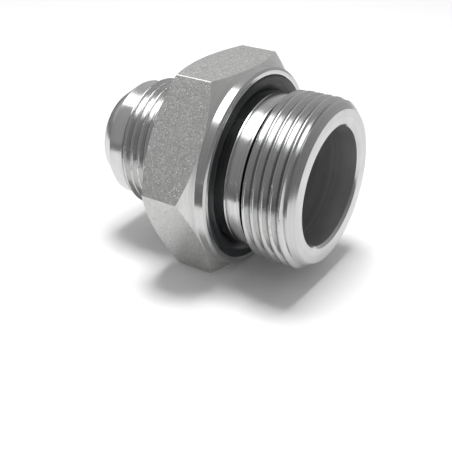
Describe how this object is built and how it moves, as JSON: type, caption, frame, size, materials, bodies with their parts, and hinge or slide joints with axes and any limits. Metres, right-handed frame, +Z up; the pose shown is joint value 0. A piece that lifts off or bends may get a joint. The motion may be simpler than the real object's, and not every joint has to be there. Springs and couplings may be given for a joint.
{
  "type": "male adapter fitting",
  "caption": "Straight male adapter pipe fitting: hexagon with a sealed parallel port thread on one end and a 37 degree flare thread on the other.",
  "frame": {"origin": "on the axis of the fitting, at the sealing face of the collar", "axes": "+X along the axis out of the port end, +Z up with a flat of the hexagon underneath, +Y to the side"},
  "size_m": [0.0599, 0.0578, 0.05],
  "materials": {
    "plated_steel": "bright zinc plated steel, satin on the hexagon and turned bright on the round parts",
    "seal_rubber": "black elastomer, smooth moulded"
  },
  "bodies": {
    "root": {"body": "plated_steel", "seal_ring": "seal_rubber"}
  },
  "joints": []
}
